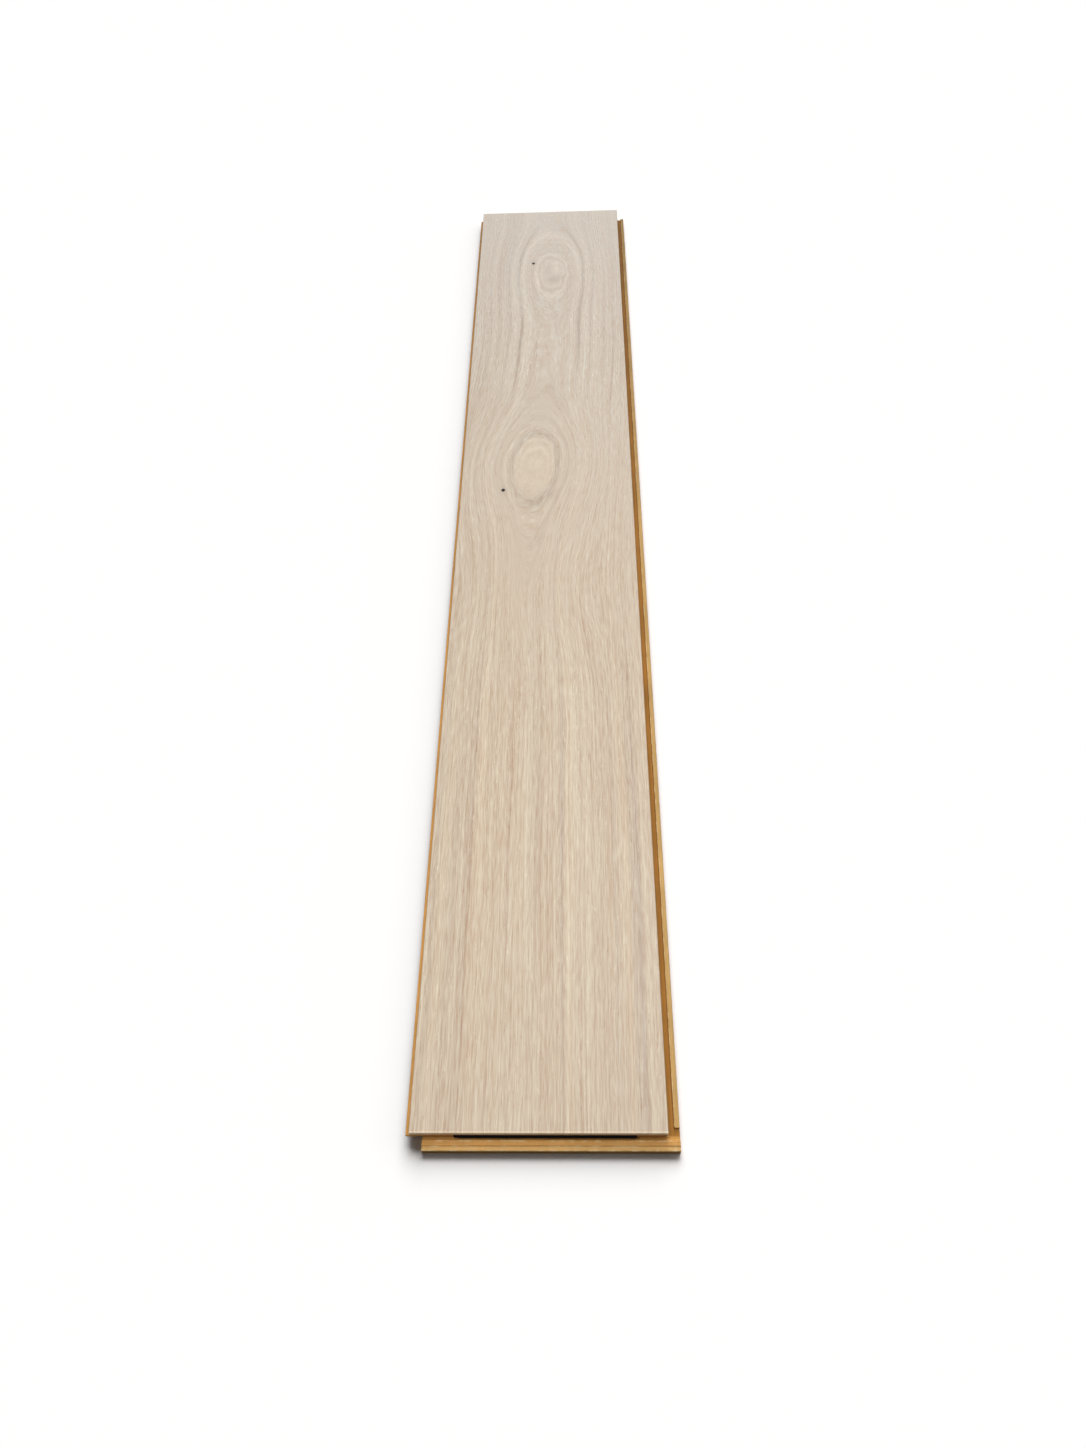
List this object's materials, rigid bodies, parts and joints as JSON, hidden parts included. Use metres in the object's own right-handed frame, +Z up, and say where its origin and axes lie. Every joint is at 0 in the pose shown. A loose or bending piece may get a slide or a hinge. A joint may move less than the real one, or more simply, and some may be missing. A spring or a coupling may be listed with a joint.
{
  "type": "parquet board",
  "caption": "Engineered parquet board with an oak face on a wood-fibre core, click joints milled on all four edges and a plastic spring tongue at one end.",
  "frame": {"origin": "on the underside, below the middle of the oak face", "axes": "+X across the board towards the locking strip, +Y along the board towards the back end, +Z up through the oak face"},
  "size_m": [0.1915, 1.2098, 0.014],
  "materials": {
    "brushed_oak": "light grey-beige oak, matt lacquer over fine open grain",
    "wood_fibre_core": "golden-brown pressed wood fibre, bare and smoothly milled",
    "black_plastic": "black moulded plastic"
  },
  "bodies": {
    "root": {"oak_wear_layer": "brushed_oak", "core_board": "wood_fibre_core", "spring_tongue": "black_plastic"}
  },
  "joints": []
}
